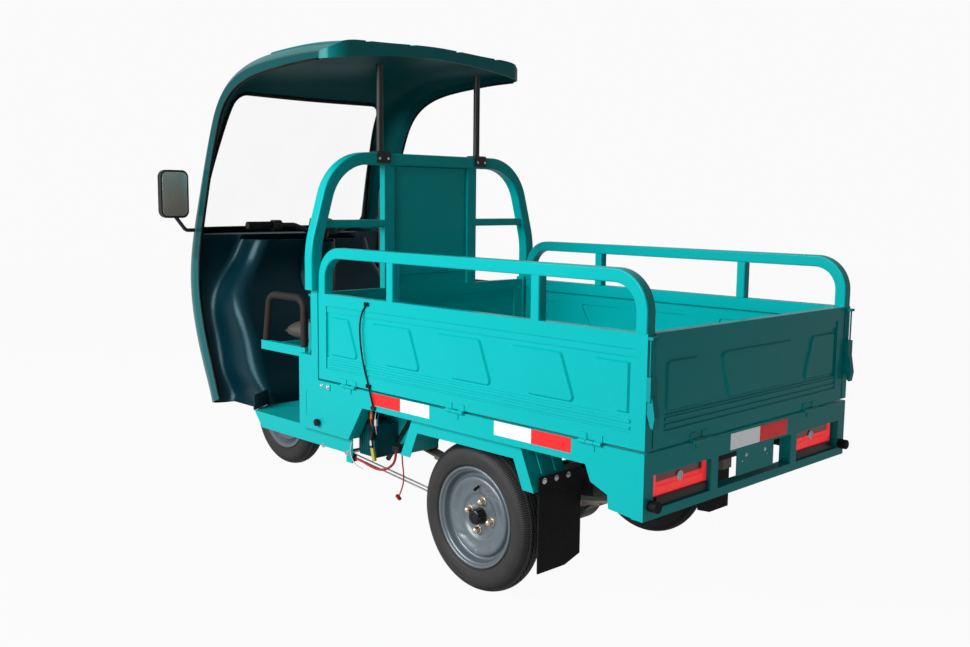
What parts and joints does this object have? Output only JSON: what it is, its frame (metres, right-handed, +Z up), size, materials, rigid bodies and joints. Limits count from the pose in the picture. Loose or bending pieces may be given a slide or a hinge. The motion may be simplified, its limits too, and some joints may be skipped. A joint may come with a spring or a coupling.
{
  "type": "electric cargo tricycle",
  "caption": "Three-wheeled electric cargo vehicle with a drop-side bed, side rails, tailgate, open cab under a moulded roof and fairing, bench seat and handlebar steering.",
  "frame": {"origin": "on the floor under the middle of the vehicle's length and width", "axes": "+X forward, +Y to the vehicle's left, +Z up"},
  "size_m": [2.7757, 1.305, 1.8511],
  "materials": {
    "teal_paint": "gloss enamel",
    "teal_moulding": "gloss gel coat",
    "latch_steel": "gloss enamel with zinc wire",
    "black_paint": "satin black",
    "clear_glass": "clear pane",
    "lamp_clear": "clear lens over chrome",
    "dark_moulding": "gloss dark moulding",
    "seat_cover": "grained vinyl",
    "black_foam": "foam sleeve",
    "spring_steel": "satin grey",
    "black_rubber": "matt",
    "lamp_red": "ribbed lens",
    "black_plastic": "moulded",
    "zinc_steel": "zinc plated",
    "tyre_rubber": "moulded tread",
    "yellow_nylon": "moulded nylon",
    "red_sleeve": "smooth vinyl",
    "rim_paint": "satin grey enamel"
  },
  "bodies": {
    "root": {"bed_floor": "teal_paint", "headboard": "teal_paint", "hoop": "teal_paint", "hoop_panel": "teal_paint", "front_latches": "latch_steel", "roof_posts": "black_paint", "post_clamps": "black_paint", "cab_shell": "teal_moulding", "windscreen": "clear_glass", "head_lamps": "lamp_clear", "leg_shield": "dark_moulding", "dash": "dark_moulding", "cab_floor": "teal_paint", "seat_box": "teal_paint", "battery_box": "black_paint", "seat_frame": "teal_paint", "seat_cushion": "seat_cover", "seat_back": "seat_cover", "armrests": "black_foam", "chassis": "black_paint", "rear_axle": "black_paint", "leaf_springs": "spring_steel", "rear_fenders": "teal_paint", "mud_flaps": "black_rubber", "rear_frame": "teal_paint", "tail_lamps": "lamp_red", "plate_holder": "teal_paint", "bumper_stubs": "black_rubber", "mirrors": "black_plastic", "brake_linkage": "zinc_steel", "splash_plate": "teal_paint", "cord_clips": "black_plastic", "loom_cable": "black_rubber", "loom_plug": "yellow_nylon", "red_hose": "red_sleeve", "red_strap": "red_sleeve", "strap_foot": "red_sleeve"},
    "steering": {"fork": "black_paint", "front_axle": "zinc_steel", "front_fender": "black_plastic", "handlebar": "black_paint", "grips": "black_rubber", "switch_pods": "black_plastic"},
    "front_wheel": {"front_tyre": "tyre_rubber", "front_rim": "rim_paint"},
    "rear_left_wheel": {"rear_left_tyre": "tyre_rubber", "rear_left_rim": "rim_paint"},
    "rear_right_wheel": {"rear_right_tyre": "tyre_rubber", "rear_right_rim": "rim_paint"},
    "side_left": {"side_left_panel": "teal_paint", "side_left_rail": "teal_paint", "side_left_latch": "latch_steel", "side_cable": "black_rubber"},
    "side_right": {"side_right_panel": "teal_paint", "side_right_rail": "teal_paint", "side_right_latch": "latch_steel"},
    "tailgate": {"tailgate": "teal_paint"}
  },
  "joints": [
    {"name": "side_left_drop", "type": "hinge", "parent": "root", "child": "side_left", "pos_m": [0, 0.561, 0.6], "axis": [-1, 0, 0], "range_deg": [0, 170]},
    {"name": "side_right_drop", "type": "hinge", "parent": "root", "child": "side_right", "pos_m": [0, -0.561, 0.6], "axis": [1, 0, 0], "range_deg": [0, 170]},
    {"name": "tailgate_drop", "type": "hinge", "parent": "root", "child": "tailgate", "pos_m": [-1.352, 0, 0.6], "axis": [0, -1, 0], "range_deg": [0, 162]},
    {"name": "steering_turn", "type": "hinge", "parent": "root", "child": "steering", "pos_m": [0.854, 0, 1.1], "axis": [-0.309, 0, 0.9511], "range_deg": [-35, 35]},
    {"name": "front_wheel_spin", "type": "hinge", "parent": "steering", "child": "front_wheel", "pos_m": [1.1318, 0, 0.245], "axis": [0, 1, 0], "continuous": true},
    {"name": "rear_left_spin", "type": "hinge", "parent": "root", "child": "rear_left_wheel", "pos_m": [-0.628, 0.444, 0.245], "axis": [0, 1, 0], "continuous": true},
    {"name": "rear_right_spin", "type": "hinge", "parent": "root", "child": "rear_right_wheel", "pos_m": [-0.628, -0.444, 0.245], "axis": [0, 1, 0], "continuous": true}
  ]
}
